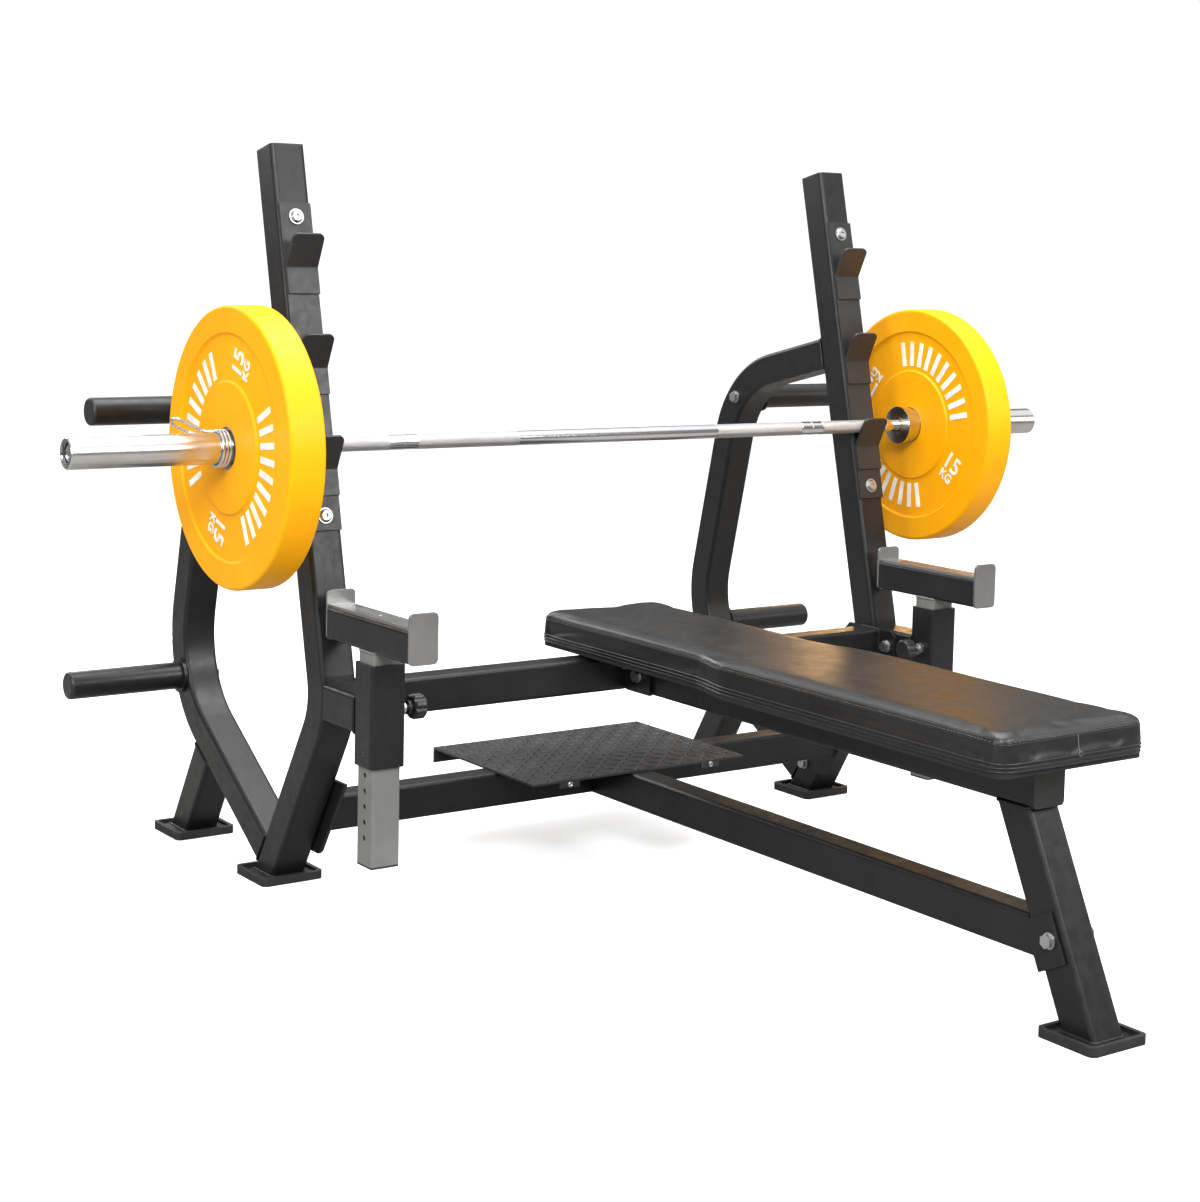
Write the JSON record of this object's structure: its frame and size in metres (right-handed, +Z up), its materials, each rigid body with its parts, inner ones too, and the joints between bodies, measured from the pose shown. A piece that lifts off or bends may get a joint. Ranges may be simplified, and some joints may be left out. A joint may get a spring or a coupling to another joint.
{
  "type": "olympic bench press",
  "caption": "Flat bench joined to two braced uprights with racked bar hooks, height-adjustable safety catches, plate horns, a standing plate and a loaded barbell.",
  "frame": {"origin": "on the floor, at the middle of the footprint's width and length", "axes": "+X along the barbell, +Y from the bench's foot end to the uprights, +Z up"},
  "size_m": [2.01, 1.784, 1.229],
  "materials": {
    "frame_paint": "matte powder coat",
    "liner_plastic": "matte",
    "black_steel": "black oxide",
    "zinc_steel": "bright zinc",
    "rack_paint": "satin powder coat",
    "black_plastic": "matte",
    "horn_paint": "satin",
    "black_board": "black covered",
    "black_vinyl": "satin grain",
    "tread_paint": "satin",
    "black_rubber": "matte",
    "post_grey": "satin",
    "cradle_dark": "gloss",
    "plate_silver": "satin",
    "chrome": "polished",
    "knob_plastic": "satin",
    "bar_chrome": "knurled satin chrome",
    "ring_steel": "spring steel",
    "bush_bronze": "machined",
    "yellow_rubber": "satin",
    "hub_steel": "zinc",
    "spring_steel": "polished wire"
  },
  "bodies": {
    "rack": {"front_frame_left": "frame_paint", "front_frame_right": "frame_paint", "rear_frame_left": "frame_paint", "rear_frame_right": "frame_paint", "rear_leg_left": "frame_paint", "rear_leg_right": "frame_paint", "catch_arm_left": "frame_paint", "catch_arm_right": "frame_paint", "catch_socket_left": "frame_paint", "catch_socket_right": "frame_paint", "socket_liners": "liner_plastic", "liner_set_screws": "black_steel", "pin_bushes": "zinc_steel", "upper_crossbar": "frame_paint", "lower_crossbar": "frame_paint", "hook_rack_left": "rack_paint", "hook_rack_right": "rack_paint", "button_bolts": "zinc_steel", "hex_bolts": "zinc_steel", "tube_caps": "black_plastic", "horn_upper_left": "horn_paint", "horn_upper_right": "horn_paint", "horn_lower_left": "horn_paint", "horn_lower_right": "horn_paint", "horn_caps": "black_plastic", "bench_rail": "frame_paint", "bench_leg": "frame_paint", "lower_beam": "frame_paint", "pad_brackets": "frame_paint", "pad_board": "black_board", "pad_cushion": "black_vinyl", "pad_screws": "zinc_steel", "standing_plate": "tread_paint", "foot_plates": "frame_paint", "rubber_feet": "black_rubber"},
    "bar": {"bar_shaft": "bar_chrome", "retaining_rings": "ring_steel"},
    "catch_left": {"catch_post_left": "post_grey", "catch_cradle_left": "cradle_dark", "cradle_plates_left": "plate_silver", "post_plug_left": "black_plastic"},
    "pull_pin_left": {"pull_pin_left": "chrome", "pull_knob_left": "knob_plastic"},
    "sleeve_left": {"bar_sleeve_left": "chrome", "sleeve_bushes_left": "bush_bronze"},
    "plate_left": {"weight_plate_left": "yellow_rubber", "plate_hub_left": "hub_steel"},
    "collar_left": {"spring_collar_left": "spring_steel"},
    "catch_right": {"catch_post_right": "post_grey", "catch_cradle_right": "cradle_dark", "cradle_plates_right": "plate_silver", "post_plug_right": "black_plastic"},
    "pull_pin_right": {"pull_pin_right": "chrome", "pull_knob_right": "knob_plastic"},
    "sleeve_right": {"bar_sleeve_right": "chrome", "sleeve_bushes_right": "bush_bronze"},
    "plate_right": {"weight_plate_right": "yellow_rubber", "plate_hub_right": "hub_steel"},
    "collar_right": {"spring_collar_right": "spring_steel"}
  },
  "joints": [
    {"name": "bar_lift", "type": "slide", "parent": "rack", "child": "bar", "axis": [0, -0.4072, 0.9134], "range_m": [0, 0.25]},
    {"name": "catch_height_left", "type": "slide", "parent": "rack", "child": "catch_left", "axis": [0, 0, 1], "range_m": [0, 0.15]},
    {"name": "pin_pull_left", "type": "slide", "parent": "rack", "child": "pull_pin_left", "axis": [1, 0, 0], "range_m": [0, 0.012], "stiffness_N_per_m": 800},
    {"name": "sleeve_spin_left", "type": "hinge", "parent": "bar", "child": "sleeve_left", "pos_m": [-0.83, 0.35037, 0.74332], "axis": [1, 0, 0], "continuous": true},
    {"name": "plate_slide_left", "type": "slide", "parent": "sleeve_left", "child": "plate_left", "axis": [-1, 0, 0], "range_m": [0, 0.23]},
    {"name": "collar_slide_left", "type": "slide", "parent": "sleeve_left", "child": "collar_left", "axis": [-1, 0, 0], "range_m": [0, 0.23]},
    {"name": "catch_height_right", "type": "slide", "parent": "rack", "child": "catch_right", "axis": [0, 0, 1], "range_m": [0, 0.15]},
    {"name": "pin_pull_right", "type": "slide", "parent": "rack", "child": "pull_pin_right", "axis": [-1, 0, 0], "range_m": [0, 0.012], "stiffness_N_per_m": 800},
    {"name": "sleeve_spin_right", "type": "hinge", "parent": "bar", "child": "sleeve_right", "pos_m": [0.83, 0.35037, 0.74332], "axis": [1, 0, 0], "continuous": true},
    {"name": "plate_slide_right", "type": "slide", "parent": "sleeve_right", "child": "plate_right", "axis": [1, 0, 0], "range_m": [0, 0.23]},
    {"name": "collar_slide_right", "type": "slide", "parent": "sleeve_right", "child": "collar_right", "axis": [1, 0, 0], "range_m": [0, 0.23]}
  ],
  "couplings": [
    {"joint": "collar_slide_left", "follows": "plate_slide_left", "ratio": 1},
    {"joint": "collar_slide_right", "follows": "plate_slide_right", "ratio": 1}
  ]
}
